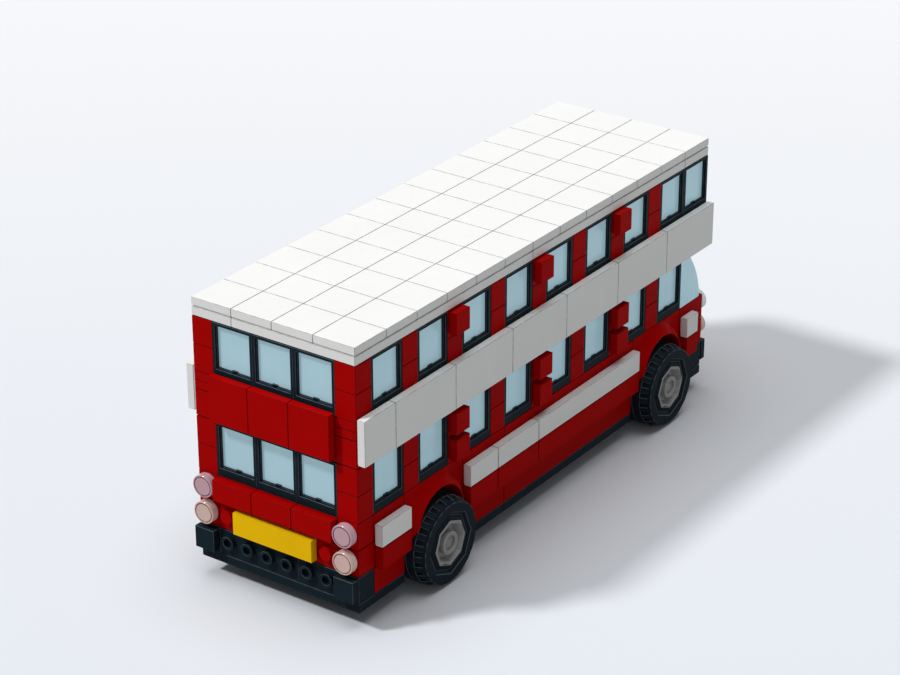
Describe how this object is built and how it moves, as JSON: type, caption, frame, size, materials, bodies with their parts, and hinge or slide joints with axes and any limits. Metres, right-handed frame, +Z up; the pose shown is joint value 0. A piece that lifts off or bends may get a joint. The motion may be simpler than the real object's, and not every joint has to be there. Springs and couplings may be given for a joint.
{
  "type": "brick-built toy double decker bus",
  "caption": "Toy double decker bus built from interlocking plastic bricks: tiled roof, rows of windows, white side bands, sloping windscreen, round lamps, mudguards and wheels that roll.",
  "frame": {"origin": "On the ground under the middle of the bus: halfway along its overall length and on its centre plane.", "axes": "+X forward, from the rear bumper to the windscreen; +Y to the bus's own left; +Z up, square to the flat roof."},
  "size_m": [0.2144, 0.0776, 0.099],
  "materials": {
    "red_plastic": "moulded",
    "white_plastic": "moulded",
    "black_plastic": "moulded",
    "yellow_plastic": "moulded",
    "grey_plastic": "moulded",
    "blue_clear_plastic": "transparent moulding",
    "pink_clear_plastic": "transparent moulding",
    "peach_clear_plastic": "transparent moulding",
    "clear_plastic": "transparent moulding",
    "tyre_rubber": "block tread"
  },
  "bodies": {
    "bus_body": {"base_plate": "black_plastic", "axle_brick_rear_right": "black_plastic", "mudguard_rear_right": "red_plastic", "axle_brick_rear_left": "black_plastic", "mudguard_rear_left": "red_plastic", "axle_brick_front_right": "black_plastic", "mudguard_front_right": "red_plastic", "axle_brick_front_left": "black_plastic", "mudguard_front_left": "red_plastic", "lower_wall_right": "red_plastic", "lower_windows_right": "red_plastic", "belt_right": "red_plastic", "white_band_right": "white_plastic", "upper_windows_right": "red_plastic", "white_strip_rear_right": "white_plastic", "white_strip_middle_right": "white_plastic", "white_strip_front_right": "white_plastic", "lower_wall_left": "red_plastic", "lower_windows_left": "red_plastic", "belt_left": "red_plastic", "white_band_left": "white_plastic", "upper_windows_left": "red_plastic", "white_strip_rear_left": "white_plastic", "white_strip_middle_left": "white_plastic", "white_strip_front_left": "white_plastic", "rear_skirt": "red_plastic", "rear_bumper": "black_plastic", "number_plate_rear": "yellow_plastic", "belt_rear": "red_plastic", "rear_panel": "red_plastic", "upper_windows_rear": "black_plastic", "upper_lamp_rear_right": "pink_clear_plastic", "lower_lamp_rear_right": "peach_clear_plastic", "upper_lamp_rear_left": "pink_clear_plastic", "lower_lamp_rear_left": "peach_clear_plastic", "front_skirt": "red_plastic", "front_bumper": "black_plastic", "number_plate_front": "white_plastic", "belt_front": "red_plastic", "front_panel": "red_plastic", "upper_windows_front": "black_plastic", "upper_lamp_front_right": "clear_plastic", "lower_lamp_front_right": "peach_clear_plastic", "upper_lamp_front_left": "clear_plastic", "lower_lamp_front_left": "peach_clear_plastic", "lower_windows_rear": "black_plastic", "windscreen": "blue_clear_plastic", "upper_floor": "red_plastic", "roof_plates": "white_plastic", "roof_tiles": "white_plastic"},
    "wheel_rear_right": {"tyre_rear_right": "tyre_rubber", "rim_rear_right": "grey_plastic"},
    "wheel_rear_left": {"tyre_rear_left": "tyre_rubber", "rim_rear_left": "grey_plastic"},
    "wheel_front_right": {"tyre_front_right": "tyre_rubber", "rim_front_right": "grey_plastic"},
    "wheel_front_left": {"tyre_front_left": "tyre_rubber", "rim_front_left": "grey_plastic"}
  },
  "joints": [
    {"name": "spin_rear_right", "type": "hinge", "parent": "bus_body", "child": "wheel_rear_right", "pos_m": [-0.064, -0.0318, 0.0152], "axis": [0, 1, 0], "continuous": true},
    {"name": "spin_rear_left", "type": "hinge", "parent": "bus_body", "child": "wheel_rear_left", "pos_m": [-0.064, 0.0318, 0.0152], "axis": [0, 1, 0], "continuous": true},
    {"name": "spin_front_right", "type": "hinge", "parent": "bus_body", "child": "wheel_front_right", "pos_m": [0.072, -0.0318, 0.0152], "axis": [0, 1, 0], "continuous": true},
    {"name": "spin_front_left", "type": "hinge", "parent": "bus_body", "child": "wheel_front_left", "pos_m": [0.072, 0.0318, 0.0152], "axis": [0, 1, 0], "continuous": true}
  ]
}
